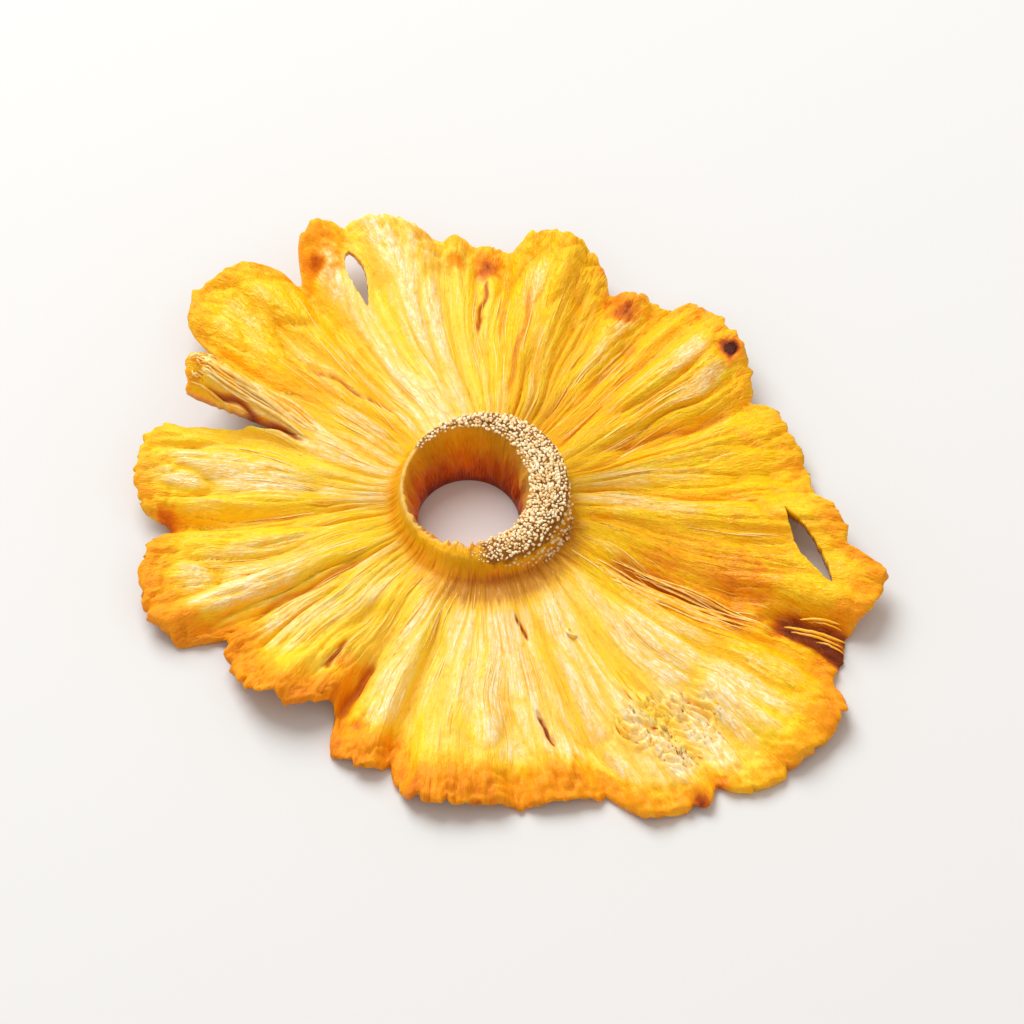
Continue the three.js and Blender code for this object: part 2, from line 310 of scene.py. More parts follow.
EYES = [
    # angle, distance from the hub, size, depth, darkness
    (35.6, 35.6, 0.95, 0.9, 1.6),
    (58.8, 31.6, 1.7, 0.5, 0.7),
    (61.5, 32.8, 2.0, 0.3, 0.4),
    (66.0, 35.5, 1.2, 0.3, 0.4),
    (89.5, 34.0, 1.5, 0.5, 0.7),
    (95.5, 34.2, 1.3, 0.4, 0.35),
    (117.8, 40.2, 1.9, 0.5, 0.35),
    (121.5, 38.4, 1.2, 0.6, 0.75),
    (119.5, 38.8, 2.4, 0.2, 0.25),
    (119.0, 36.4, 1.3, 0.3, 0.3),
    (182.2, 36.8, 1.3, 0.7, 0.7),
    (233.0, 26.4, 1.6, 0.4, 0.3),
    (243.0, 32.0, 1.5, 0.5, 0.4),
    (265.0, 38.4, 0.7, 0.1, 0.5),
    (269.0, 38.9, 0.9, 0.2, 0.7),
    (273.5, 39.0, 0.7, 0.2, 0.6),
    (303.0, 45.2, 1.1, 0.4, 0.9),
    (307.0, 44.6, 0.9, 0.3, 0.6),
    (334.9, 37.2, 1.1, 0.5, 0.5),
    (337.0, 22.0, 4.0, 0.0, 0.28),
    (340.0, 31.0, 5.0, 0.0, 0.34),
]
CRACKS = [
    # where it starts and ends (angle, distance from the hub), width, depth, darkness
    ((282.6, 15.5), (286.1, 18.8), 0.17, 0.5, 0.9),
    ((282.0, 28.0), (284.6, 32.8), 0.26, 0.7, 0.9),
    ((237.4, 23.0), (238.6, 32.5), 0.9, 1.0, 0.42),
    ((228.5, 23.5), (231.0, 29.0), 0.4, 0.6, 0.5),
    ((92.0, 23.5), (89.6, 33.0), 0.3, 0.4, 0.6),
    ((84.8, 22.0), (85.5, 36.0), 0.9, 0.2, 0.25),
    ((336.8, 34.5), (334.9, 52.0), 1.2, 1.2, 0.9),
    ((337.3, 35.5), (338.7, 52.0), 0.95, 0.9, 0.85),
    ((329.0, 14.5), (333.6, 36.0), 1.4, 0.5, 0.45),
    ((153.4, 22.5), (152.6, 37.0), 0.32, 0.6, 0.75),
    ((157.6, 21.5), (158.6, 36.0), 0.38, 0.5, 0.7),
    ((155.6, 27.0), (155.0, 36.0), 0.22, 0.4, 0.5),
    ((125.6, 15.2), (139.8, 29.2), 0.32, 0.5, 0.42),
    ((78.0, 13.0), (80.0, 32.0), 0.6, 0.4, 0.35),
    ((205.0, 14.0), (209.0, 33.0), 0.5, 0.3, 0.35),
    ((51.0, 14.0), (52.0, 31.0), 0.5, 0.3, 0.35),
    ((26.0, 14.0), (25.0, 34.0), 0.5, 0.3, 0.3),
]


def bundle(height):
    """Round bundles with a sharp furrow between them, from a random height."""
    return 1 - np.exp(-np.abs(height) / FURROW_WIDTH)


def broad_bundles(angle, r):
    return bundle(uneven(wandered(angle, r), r / 13, BROAD_CELLS, 40))


def bundles(angle, r):
    """Height of the bundles of fibre, from 0 in a furrow to 1 on top."""
    at = wandered(angle, r)
    inner = bundle(uneven(at, r / 9, INNER_CELLS, 41))
    outer = bundle(uneven(at, r / 8 + 5, OUTER_CELLS, 42))
    return mix(inner, np.minimum(outer, 0.6 + 0.4 * inner), ease(r, 15, 24))


def there(table, angle):
    """What a table of angles and amounts gives at an angle."""
    return np.interp(angle, [a for a, _ in table], [amount for _, amount in table], period=360)


def roughness_there(angle, r):
    """How strongly the bundles stand out: less where the flesh is pale, and from patch to patch."""
    return 1.05 - 0.5 * there(PALE, angle) + 0.35 * uneven(angle, r / 12, 15, 45)


def near_eyes(angle, r):
    """How dark and how deep the rests of the fruit's eyes make the flesh there."""
    x, y = place(angle, r)
    dark, deep = np.zeros_like(r), np.zeros_like(r)
    for eye_angle, eye_r, size, depth, darkness in EYES:
        ex, ey = place(eye_angle, eye_r)
        ragged = 1 + 0.35 * lumps(x, y, 0.9, 61)
        spot = bell(np.hypot(x - ex, y - ey) / size * ragged)
        dark = np.maximum(dark, darkness * spot)
        deep = np.maximum(deep, depth * spot)
    return dark, deep


def near_cracks(angle, r):
    """The same for the short cracks in the flesh."""
    x, y = place(angle, r)
    dark, deep = np.zeros_like(r), np.zeros_like(r)
    for start, end, width, depth, darkness in CRACKS:
        ax, ay = place(*start)
        bx, by = place(*end)
        length = np.hypot(bx - ax, by - ay)
        along = ((x - ax) * (bx - ax) + (y - ay) * (by - ay)) / length**2
        bend = min(1, length / LONG_CRACK) * (0.35 * np.sin(6 * along) + 0.2 * np.sin(17 * along))
        aside = ((x - ax) * (by - ay) - (y - ay) * (bx - ax)) / length + bend
        open_here = ease(along, 0, 0.2) * (1 - ease(along, 0.8, 1.0))
        line = bell(np.abs(aside / width) ** (2 if width > 1 else 1)) * open_here
        dark = np.maximum(dark, darkness * line)
        deep = np.maximum(deep, depth * line)
    return dark, deep


def swirls(angle, r):
    """The curled wrinkles near the front: how much of them there is, and their height from 0 to 1."""
    x, y = place(angle, r)
    patch, height = np.zeros_like(r), np.zeros_like(r)
    for swirl_angle, swirl_r, size in SWIRLS:
        sx, sy = place(swirl_angle, swirl_r)
        off = np.hypot(x - sx, SWIRL_SQUASH * (y - sy))
        near = ease(1.5 - off / size)
        for stray, lump, seed in SWIRL_STRAYS:
            off = off + stray * lumps(x, y, lump, seed)
        height = np.where(near > patch, np.abs(np.sin(np.pi * off / SWIRL_PITCH)), height)
        patch = np.maximum(patch, near)
    return patch, height


def relief(angle, r, share):
    """Height of the fibres, furrows, crumbs, wrinkles, eyes and cracks over the plain sheet."""
    x, y = place(angle, r)
    patch, wrinkles = swirls(angle, r)
    crumbly = ease(share, CRUMBS_FROM, CRUMBS_FULL)
    fibrous = ease(share, -0.02, 0.05) * (1 - 0.6 * crumbly) * (1 - 0.7 * patch) * roughness_there(angle, r)
    crumbs = bundle(lumps(x, y, 1.9, 71)) + 0.6 * bundle(lumps(x, y, 0.9, 72)) - 1.1
    crumbs = crumbs + 0.5 * there(BROWNED, angle) * (bundle(lumps(x, y, 3.1, 73)) - 0.7)
    z = BROAD_DEPTH * (broad_bundles(angle, r) - 0.8) + BUNDLE_DEPTH * (bundles(angle, r) - 0.7)
    z = fibrous * z + CRUMB_DEPTH * crumbs * (0.1 + 0.9 * crumbly)
    z = z + SWIRL_DEPTH * patch * (wrinkles - 0.6)
    return z - near_eyes(angle, r)[1] - near_cracks(angle, r)[1]


print(len(EYES), "eyes,", len(CRACKS), "cracks and", len(SWIRLS), "swirls")


# %% [markdown]
# The slice itself is a closed section that goes once round the hub. Spinning one profile would do for an even
# ring, but a full spin of a thousand steps is slow, and this section is different at every angle anyway. So a flat
# grid is rolled up: its columns become angles, its rows become places along the section, and its four edges are
# welded in pairs. Because the columns run outwards like the fibres, furrows far finer than the cells are long
# come out sharp.

# %% The net that will be rolled up
COLUMNS = 1152
NEAR_RIM = 0.6
ROWS = (
    [("wall", t) for t in np.linspace(0, 1, 8)[:-1]]
    + [("crown", t) for t in np.linspace(0, 1, 8)[:-1]]
    + [("slope", t) for t in np.linspace(0, 1, 5)[:-1]]
    + [("top", t) for t in np.linspace(0, NEAR_RIM, 17)[:-1]]
    + [("top", t) for t in np.linspace(NEAR_RIM, 1, 38)]
    + [("rim", t) for t in np.linspace(0, 1, 7)[1:-1]]
    + [("under", t) for t in np.linspace(1, 0, 8)]
    + [("sole", t) for t in np.linspace(0, 1, 3)[1:-1]]
)


def flat_net(name, columns, rows):
    """A flat grid of that many cells, with the column and the row of each of its vertices."""
    bm = bmesh.new()
    bmesh.ops.create_grid(bm, x_segments=columns, y_segments=rows, size=0.5)
    mesh = bpy.data.meshes.new(name)
    bm.to_mesh(mesh)
    bm.free()
    flat = positions(mesh) + 0.5
    column, row = np.round(flat[:, 0] * columns), np.round(flat[:, 1] * rows)
    return mesh, column.astype(int) % columns, row.astype(int) % rows


def positions(mesh):
    co = np.empty(len(mesh.vertices) * 3)
    mesh.vertices.foreach_get("co", co)
    return co.reshape(-1, 3)


def weld(mesh, gap=1e-7):
    bm = bmesh.new()
    bm.from_mesh(mesh)
    bmesh.ops.remove_doubles(bm, verts=bm.verts, dist=gap)
    bm.to_mesh(mesh)
    bm.free()


net, column, row = flat_net("pineapple_slice", COLUMNS, len(ROWS))
print(COLUMNS, "columns,", len(ROWS), "rows")

# %% [markdown]
# Each stretch of the section has its own rule: the hole's wall with its upright fibres, the rounded crown, the
# slope down to the flesh, the flesh's upper face, the rim, and back underneath to the collar's flat sole. The
# lip of the crown is jagged, most of all on its near side, because the fibres there were cut across and stand up
# in points.

# %% Roll the net up
RIM_ROUND = 0.55
LIP_JAGS, LIP_JAG_HEIGHT, JAGGED_AT, JAGGED_SPREAD = 150, 0.7, 255, 55
WALL_RIBS, WALL_RIB_DEPTH = 44, 0.6


def jags(angle):
    """Height of the points that stand up on the lip, most of all on its near side."""
    near = 0.25 + bell(turn(JAGGED_AT, angle) / JAGGED_SPREAD)
    return LIP_JAG_HEIGHT * uneven(angle, 0 * angle, LIP_JAGS, 81) * near


def faces_of_sheet(angle, share):
    """Heights of the sheet's upper and lower face, with their relief."""
    r = mix(foot(angle), reach(angle), share)
    z = sheet_height(angle, share)
    edge = RIM_THICKNESS * (1 + 0.35 * uneven(angle, 0 * angle, 44, 97))
    under = np.maximum(0, z - mix(FLESH_THICKNESS, edge, share))
    upper = np.maximum(z, under + edge) + relief(angle, r, share)
    rough = ease(share, 0, 0.2) * 0.5 * relief(angle + 180, r, share)
    return np.maximum(upper, under + 0.5), np.maximum(0, under + rough)


def section(angle, kind, t):
    """Distance from the hub and height of one row of the section, at each angle."""
    lip = lip_of(angle)
    hole = to_hole(angle, HOLE_RADIUS)
    height = crown_height(angle)
    if kind == "wall":
        ribs = WALL_RIB_DEPTH * uneven(angle, 3 * t + 0 * angle, WALL_RIBS, 82) * np.sin(np.pi * min(t, 0.9))
        return mix(hole, lip, t**2) + ribs, height * t + jags(angle) * ease(t, 0.55, 1.0)
    if kind == "crown":
        crown = COLLAR_RADIUS - lip
        bumps = 0.12 * uneven(angle, 4 * t + 0 * angle, 90, 83) * np.sin(np.pi * t)
        dome = CROWN_DOME * crown * np.sin(np.pi * t)
        return lip + crown * t, height + dome + jags(angle) * bell(3 * t) + bumps
    if kind == "slope":
        ribs = 0.12 * uneven(angle, 2 * t + 0 * angle, 110, 84) + t * 0.5 * (bundles(angle, foot(angle)) - 0.7)
        return mix(COLLAR_RADIUS, foot(angle), t**1.6), mix(height, FOOT_HEIGHT, t**0.8) + ribs
    if kind == "top":
        upper, _ = faces_of_sheet(angle, t + 0 * angle)
        return mix(foot(angle), rim_at(angle) - RIM_ROUND, t), upper
    if kind == "rim":
        upper, under = faces_of_sheet(angle, 1 + 0 * angle)
        bulge = RIM_ROUND * np.sin(np.pi * t) * (1 + 0.8 * uneven(angle, 4 * t + 0 * angle, 330, 98))
        return rim_at(angle) - RIM_ROUND + bulge, (upper + under) / 2 + (upper - under) / 2 * np.cos(np.pi * t)
    if kind == "under":
        _, under = faces_of_sheet(angle, t + 0 * angle)
        return mix(foot(angle), rim_at(angle) - RIM_ROUND, t), under
    return mix(hole + COLLAR_SOLE, hole, t), 0 * angle


NICKS = [(130, 0.35, 91), (260, 0.3, 92), (430, 0.22, 93)]
TEAR_CELLS, TEAR_DEPTH, TEAR_WIDTH = 84, 1.2, 0.1
RIM_SPARE = 0.3


def rim_at(angle):
    """The rim's distance from the hub with its smallest nicks and its tears."""
    nicks = sum(depth * uneven(angle, 0 * angle, cells, seed) for cells, depth, seed in NICKS)
    tears = TEAR_DEPTH * np.exp(-np.abs(uneven(angle, 0 * angle, TEAR_CELLS, 94)) / TEAR_WIDTH)
    return reach(angle) + RIM_SPARE * there(TORN, angle) + there(TORN, angle) * (nicks - tears)


angles = np.arange(COLUMNS) * 360 / COLUMNS
table = np.array([section(angles, kind, t) for kind, t in ROWS])
r_new, z_new = table[row, 0, column], table[row, 1, column]
x_new, y_new = place(angles[column], r_new)
co = np.stack([x_new + HUB.x, y_new + HUB.y, z_new], axis=1) * MM
net.vertices.foreach_set("co", co.ravel())
weld(net)
print("from", (co.min(0) / MM).round(1), "to", (co.max(0) / MM).round(1), "mm")

# %% Make it an object whose faces point outwards


def outwards(mesh):
    """Turns a closed mesh's faces outwards."""
    bm = bmesh.new()
    bm.from_mesh(mesh)
    bmesh.ops.recalc_face_normals(bm, faces=bm.faces)
    if bm.calc_volume(signed=True) < 0:
        bmesh.ops.reverse_faces(bm, faces=bm.faces)
    volume = bm.calc_volume()
    bm.to_mesh(mesh)
    bm.free()
    return volume


def add_object(name, mesh):
    piece = bpy.data.objects.new(name, mesh)
    bpy.context.scene.collection.objects.link(piece)
    return piece


slice_piece = add_object("pineapple_slice", net)
print("volume", round(outwards(net) / MM**3), "cubic mm")

# %% [markdown]
# Two gaps open at the rim and two slots lie within the flesh, where petals have torn apart as they shrank. They
# are cut right through with prisms, because a hole can't be had by moving the net's vertices.

# %% Cut the gaps
WEDGES = [((22.9, 157.4), (160.5, 166.7)), ((41.0, 337.0), (336.4, 338.0))]
SLOTS = [((34.8, -1.0), (40.1, -10.8), 2.3, 1.0), ((-16.2, 34.7), (-13.8, 26.6), 2.4, 0.7)]
WEDGE_END, SLOT_POINTS, WEDGE_POINTS, CUT_HEIGHT, RAGGED = 55, 22, 60, 30, 0.16


def ragged(t, seed):
    """A small step to the side, for a torn edge."""
    rough = [uneven(np.array(360 * t), np.array(0.5), 56, seed + i).item() for i in (0, 1)]
    return Vector(rough) * RAGGED * min(1, 20 * t)


def wedge(apex, mouth):
    """The outline of a gap that opens from its apex out past the rim, with ragged sides."""
    tip = Vector(place(apex[1], apex[0]))
    first, second = (Vector(place(angle, WEDGE_END)) for angle in mouth)
    shares = [i / WEDGE_POINTS for i in range(WEDGE_POINTS)]
    one_side = [tip.lerp(first, t) + ragged(t, 101) for t in shares]
    return one_side + [first, second] + [tip.lerp(second, t) + ragged(t, 103) for t in reversed(shares[1:])]


def slot(start, end, width, fullest):
    """The outline of a slot with pointed ends."""
    start, end = Vector(start), Vector(end)
    across = (end - start).orthogonal().normalized()
    outline = []
    for side in (-1, 1):
        for i in range(SLOT_POINTS):
            t = i / SLOT_POINTS if side < 0 else 1 - i / SLOT_POINTS
            out = side * width * math.sin(math.pi * t**fullest) / 2
            outline.append(start.lerp(end, t) + across * out + ragged(t, 107 + side))
    return outline


def prism(outline):
    """A tall prism that stands on an outline."""
    bm = bmesh.new()
    low = [bm.verts.new(((p + HUB) * MM).to_3d() - Vector((0, 0, CUT_HEIGHT * MM / 2))) for p in outline]
    face = bm.faces.new(low)
    raised = bmesh.ops.extrude_face_region(bm, geom=[face])
    tops = [v for v in raised["geom"] if isinstance(v, bmesh.types.BMVert)]
    bmesh.ops.translate(bm, verts=tops, vec=(0, 0, CUT_HEIGHT * MM))
    mesh = bpy.data.meshes.new("cutter")
    bm.to_mesh(mesh)
    bm.free()
    outwards(mesh)
    return add_object("cutter", mesh)


def cut(piece, outline):
    """Cuts an outline right through a piece."""
    cutter = prism(outline)
    modifier = piece.modifiers.new("cut", "BOOLEAN")
    modifier.operation = "DIFFERENCE"
    modifier.solver = "MANIFOLD"
    modifier.object = cutter
    left = bpy.data.meshes.new_from_object(piece.evaluated_get(bpy.context.evaluated_depsgraph_get()))
    piece.modifiers.clear()
    piece.data = left
    bpy.data.objects.remove(cutter)


for outline in [wedge(*w) for w in WEDGES] + [slot(*s) for s in SLOTS]:
    cut(slice_piece, outline)
slice_piece.data.name = "pineapple_slice"
print(len(slice_piece.data.vertices), "vertices after the cuts")

# %% [markdown]
# The finish needs to know where it is on the fruit: on a ridge or in a furrow, near the rim, in a pale or a deep
# yellow part, on the cut core. Each of these is worked out for every vertex and kept in an attribute, which the
# material reads by name. The fibre attribute is a place in a space where the fibres are straight, so that a
# texture read there runs along them.

# %% Tell the finish where it is
FIBRE_TURNS = 32
BAND_FROM, BAND_TO = 262, 150
BROWNED_LEAST, BROWNED_MORE, BROWNED_FULL, SHADED_WIDTH = 3, 4, 1.2, 6.0
LIP_PALE_WIDTH, PAINTED_SWIRL_SHADE = 0.45, 0.75


def in_band(angle):
    """How densely the cut fibres show on the crown, whose near left side is too thin to show any."""
    past = np.where(angle > 206, turn(BAND_FROM, angle), turn(angle, BAND_TO))
    return ease(past, -14, 22)


def keep(mesh, name, values, kind="FLOAT", field="value"):
    layer = mesh.attributes.new(name, kind, "POINT")
    layer.data.foreach_set(field, np.asarray(values, dtype=np.float32).ravel())


def describe(mesh):
    """Writes the attributes that the flesh's finish reads."""
    co = positions(mesh) / MM
    x, y, z = co[:, 0] - HUB.x, co[:, 1] - HUB.y, co[:, 2]
    r = np.hypot(x, y)
    angle = np.degrees(np.arctan2(y, x)) % 360
    rim = rim_at(angle)
    share = np.clip((r - foot(angle)) / (rim - foot(angle)), 0, 1)
    on_flesh = ease(r, foot(angle) - 0.4, foot(angle) + 0.6)
    lip, top = lip_of(angle), crown_height(angle)
    eye, crack_and_shade = near_eyes(angle, r)[0], near_cracks(angle, r)[0]
    # Petal middles are painted paler and their sides deeper: painted highlight and painted shade on the petals'
    # puff.
    middle = over_petals(angle, lambda petal, t: np.sin(np.pi * np.clip(t, 0, 1)))
    along = wandered(angle, r)
    bands = 1.1 * (middle - 0.65) * ease(share, 0.0, 0.5) + uneven(along, r / 16, 46, 95)
    bands = bands + 0.5 * uneven(along, r / 11, 100, 96)
    sunk = np.maximum(1 - broad_bundles(angle, r), valleys(angle, r, share, 0.9, 0.7))
    brown = there(BROWNED, angle)
    patch, wrinkles = swirls(angle, r)
    # Painted shade: the ground between the swirl's wrinkles is darkened in patches, through the same mask as the
    # cracks.
    between = PAINTED_SWIRL_SHADE * patch * (1 - ease(wrinkles, 0.0, 0.35))
    crack_and_shade = np.maximum(crack_and_shade, between * ease(lumps(x, y, 2.0, 66), -0.5, 0.3))
    keep(mesh, "ridge", bundles(angle, r))
    keep(mesh, "furrow", np.minimum(sunk, 1.2) * on_flesh)
    keep(mesh, "rim", ease(rim - r, BROWNED_LEAST + BROWNED_MORE * brown, BROWNED_FULL) * brown * on_flesh)
    # The crests of the swirl's wrinkles are painted paler, a painted highlight.
    keep(mesh, "pale", there(PALE, angle) + 0.5 * patch * wrinkles)
    # Painted shadow of the collar on the flesh round its foot, strongest at the front and fading outwards.
    keep(mesh, "shaded", (1 - ease(r - foot(angle), 0.3, SHADED_WIDTH)) * there(SHADED, angle))
    keep(mesh, "band", bands)
    keep(mesh, "eye", eye)
    keep(mesh, "crack_and_shade", crack_and_shade)
    keep(mesh, "collar", 1 - on_flesh)
    keep(mesh, "hole", ease(lip - r, -0.3, 0.05))
    # Painted shade: what lies well below the plain upper face (underside, cut walls, deepest hollows) is browned
    # in the finish.
    keep(mesh, "below", ease(sheet_height(angle, share) - z, 0.6, 1.3) * on_flesh)
    crown = ease(r, lip - 0.1, lip) * (1 - ease(r, COLLAR_RADIUS - 0.2, COLLAR_RADIUS + 0.5))
    keep(mesh, "grained", in_band(angle) * crown)
    keep(mesh, "cut", in_band(angle) * bell(turn(10, angle) / 60) * ease(z, 3.0, 7.0))
    keep(mesh, "lip", bell((r - lip) / LIP_PALE_WIDTH) * ease(z, top - 1.2, top - 0.3))
    at = np.radians(wandered(angle, r))
    fibre = np.stack([np.cos(at) * FIBRE_TURNS, np.sin(at) * FIBRE_TURNS, r / 4 + z / 3], axis=1)
    keep(mesh, "fibre", fibre, "FLOAT_VECTOR", "vector")


describe(slice_piece.data)
slice_piece.data.shade_smooth()
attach(slice_piece, "root")
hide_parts("pineapple_ring")
print([a.name for a in slice_piece.data.attributes])

# %% [markdown]
# Smaller pieces are laid on the slice, so a ray that is sent straight down finds the height of the flesh at any
# place.

# %% Find the flesh from above
flesh = BVHTree.FromObject(slice_piece, bpy.context.evaluated_depsgraph_get())
SKY = 0.05


def surface(x, y):
    """Point and normal of the slice's upper face at a place given in millimetres from the hub, or None."""
    hit, normal, _, _ = flesh.ray_cast(Vector(((x + HUB.x) * MM, (y + HUB.y) * MM, SKY)), Vector((0, 0, -1)))
    return (hit, normal) if hit is not None and hit.z > 0.2 * MM else None


print("crown at", round(surface(8.0, 0.0)[0].z / MM, 2), "mm")

# %% [markdown]
# Thousands of stiff fibres run up through the core. Where the slicing knife cut them they stand on the crown as
# pale grains with dark gaps between. A bump texture would look painted on at this size, so they are real: short
# fat stubs of a few faces each. One stub is made and doubled until there are enough, which is far quicker than
# making each one, and then every copy is moved to its own place.

# %% Many copies of one shape


def copies(name, make_one, count):
    """A mesh of that many copies of a shape, one after another, and the places of one copy's vertices."""
    mesh = bpy.data.meshes.new(name)
    bm = bmesh.new()
    make_one(bm)
    bm.to_mesh(mesh)
    bm.free()
    one = positions(mesh)
    bm = bmesh.new()
    bm.from_mesh(mesh)
    while len(bm.verts) < len(one) * count:
        bmesh.ops.duplicate(bm, geom=bm.verts[:] + bm.edges[:] + bm.faces[:])
    bm.verts.ensure_lookup_table()
    bmesh.ops.delete(bm, geom=bm.verts[len(one) * count :], context="VERTS")
    bm.to_mesh(mesh)
    bm.free()
    return mesh, one


def finished(mesh, places, tones):
    """Places a mesh of copies, gives each copy its tone, and makes the mesh a piece of the slice."""
    mesh.vertices.foreach_set("co", np.concatenate(places).ravel())
    keep(mesh, "tone", np.repeat(tones, len(places[0])))
    outwards(mesh)
    mesh.shade_smooth()
    piece = add_object(mesh.name, mesh)
    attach(piece, "root")
    print(mesh.name, len(places), "copies,", len(mesh.polygons), "faces")
    return piece


def axes(up):
    """A turn that stands the Z axis along a direction."""
    return np.array(up.to_track_quat("Z", "Y").to_matrix())


# %% Cut fibre ends on the crown
GRAIN_ROWS, GRAIN_PITCH, GRAINS_IN_ROW, GRAIN_SHIFT = 16, 0.36, 130, 0.36
GRAIN_WIDTH, GRAIN_HEIGHT, GRAIN_LEAN = 0.235, 0.24, 0.6
SPILL, SPILL_MORE, SPILL_AT, SPILL_SPREAD = 1.06, 0.3, 322, 28


def stub(bm):
    bmesh.ops.create_uvsphere(bm, u_segments=6, v_segments=4, radius=MM)


def grain_places(rng):
    """Places on the crown in shifted rows, each moved a little, with the size of its grain."""
    chosen = []
    for row in range(GRAIN_ROWS):
        for angle in np.arange(0, 360, 360 / GRAINS_IN_ROW):
            angle = angle + (row % 2 / 2 + rng.uniform(-GRAIN_SHIFT, GRAIN_SHIFT)) * 360 / GRAINS_IN_ROW
            lip, dense = lip_of(angle), in_band(angle)
            rows_here = (COLLAR_RADIUS - lip) / GRAIN_PITCH
            t = (row + rng.uniform(-GRAIN_SHIFT, GRAIN_SHIFT)) / rows_here
            over_edge = SPILL + SPILL_MORE * bell(turn(SPILL_AT, angle) / SPILL_SPREAD)
            if t < over_edge and dense > rng.uniform(0.2, 0.6):
                size = dense * (1 - 0.4 * ease(t, over_edge - 0.16, over_edge))
                chosen.append((*place(angle, mix(lip, COLLAR_RADIUS, t)), size))
    return chosen


rng = np.random.default_rng(7)
spots = [(surface(x, y), size) for x, y, size in grain_places(rng)]
spots = [(spot, size) for spot, size in spots if spot]
grains, stub_shape = copies("core_fibre_ends", stub, len(spots))
places = []
for (at, normal), size in spots:
    size = size * rng.uniform(0.7, 1.25)
    shape = stub_shape * (GRAIN_WIDTH * size, GRAIN_WIDTH * size * rng.uniform(0.5, 1), GRAIN_HEIGHT * size)
    shape = shape * rng.uniform(0.72, 1.28, (len(shape), 1))
    lean = Vector(rng.uniform(-GRAIN_LEAN, GRAIN_LEAN, 3))
    places.append(shape @ axes(normal + lean).T + np.array(at))
grain_piece = finished(grains, places, rng.uniform(size=len(spots)))

# %% [markdown]
# Here and there a fibre has come loose: along the furrows, over the rolled edge beside the slit, across the dark
# pocket in the rim, in a fan beside that pocket, and in one small curl near the front. A curve with a bevel would
# make one thread well, but hundreds are quicker as copies of one closed tube, whose rings are then set along
# each thread's own path.

# %% Threads
THREAD_SIDES, THREAD_RINGS = 5, 12
Thread = namedtuple("Thread", "path width tone")


def tube(bm):
    """A closed tube of unit radius that stands on the Z axis from 0 to 1."""
    stand = Matrix.Translation((0, 0, 0.5))
    bmesh.ops.create_cone(bm, cap_ends=True, segments=THREAD_SIDES, radius1=1, radius2=1, depth=1, matrix=stand)
    upright = [e for e in bm.edges if abs(e.verts[0].co.z - e.verts[1].co.z) > 0.5]
    bmesh.ops.subdivide_edges(bm, edges=upright, cuts=THREAD_RINGS - 2)


def along_path(shape, path, width):
    """The tube's vertices when its rings stand along a path, thick in the middle and pointed at the ends."""
    t = shape[:, 2:] * (len(path) - 1)
    i = np.clip(np.floor(t).astype(int), 0, len(path) - 2)[:, 0]
    centre = mix(path[i], path[i + 1], t - i[:, None])
    ahead = path[i + 1] - path[i]
    ahead = ahead / np.linalg.norm(ahead, axis=1, keepdims=True)
    side = np.cross(ahead, (0.02, 0.01, 1.0))
    side = side / np.linalg.norm(side, axis=1, keepdims=True)
    radius = width / 2 * MM * np.sqrt(np.sin(np.pi * (0.03 + 0.94 * shape[:, 2:])))
    return centre + radius * (shape[:, :1] * side + shape[:, 1:2] * np.cross(side, ahead))


def laid(places_from_hub, lift):
    """A path over the flesh through places from the hub, raised by lift. None where it leaves the flesh."""
    path = []
    for (x, y), up in zip(places_from_hub, lift):
        spot = surface(x, y)
        if spot is None:
            return None
        path.append(np.array(spot[0]) + (0, 0, up * MM))
    return np.array(path)


def along_fibres(angle, r, length):
    """Places along a fibre, from one place outwards."""
    course, own = [], wandered(angle, r)
    for step in np.linspace(0, 1, THREAD_RINGS):
        course.append(place(angle, r + length * step))
        angle = angle - (wandered(angle, r + length * step) - own)
    return course


def curl(angle, r, radius, start, sweep, squash=0.7):
    """Places along an arc round a place on the flesh."""
    x, y = place(angle, r)
    bends = np.radians(start + sweep * np.linspace(0, 1, THREAD_RINGS))
    radii = radius * np.linspace(1, 0.6, THREAD_RINGS)
    return list(zip(x + radii * np.cos(bends), y + squash * radii * np.sin(bends)))


LOOSE_THREADS, LOOSE_WIDTHS, CLEAN_RIM = 320, (0.08, 0.17), 5
arch = np.sin(np.pi * np.linspace(0, 1, THREAD_RINGS))
rng = np.random.default_rng(23)
threads = []
for _ in range(LOOSE_THREADS):
    angle, length = rng.uniform(0, 360), rng.uniform(3, 9)
    r = rng.uniform(11.5, reach(np.array(angle)) - CLEAN_RIM - length)
    lift = -0.05 + rng.uniform(0.02, 0.12) * arch
    path = laid(along_fibres(angle, r, length), lift)
    if path is not None:
        threads.append(Thread(path, rng.uniform(*LOOSE_WIDTHS), rng.uniform(0, 0.8)))
print(len(threads), "loose threads")

# %% Threads of the roll, the pocket and the fan beside it, and one curl near the front
ROLL_THREADS, TIP_THREADS, FAN_THREADS = 34, 16, 26
ROLL_WIDTHS, TIP_WIDTHS, FAN_WIDTHS = (0.25, 0.65), (0.2, 0.4), (0.16, 0.34)
POCKET_THREADS = [
    # start and end from the hub, width
    ((34.4, -15.9, 2.9), (41.4, -17.8, 2.5), 0.42),
    ((35.2, -16.4, 2.7), (41.0, -18.3, 2.3), 0.34),
    ((36.2, -15.0, 3.1), (40.8, -15.7, 3.1), 0.36),
    ((37.2, -15.2, 2.9), (41.0, -16.3, 2.8), 0.22),
    ((38.0, -17.5, 2.3), (41.2, -19.0, 2.1), 0.26),
]
for _ in range(ROLL_THREADS):
    angle = rng.normal(155, 1.9)
    course = along_fibres(angle, rng.uniform(21, 30), rng.uniform(7, 9))
    path = laid(course, -0.1 + rng.uniform(0.15, 0.5) * arch)
    if path is not None:
        threads.append(Thread(path, rng.uniform(*ROLL_WIDTHS), rng.uniform(0.1, 0.8)))
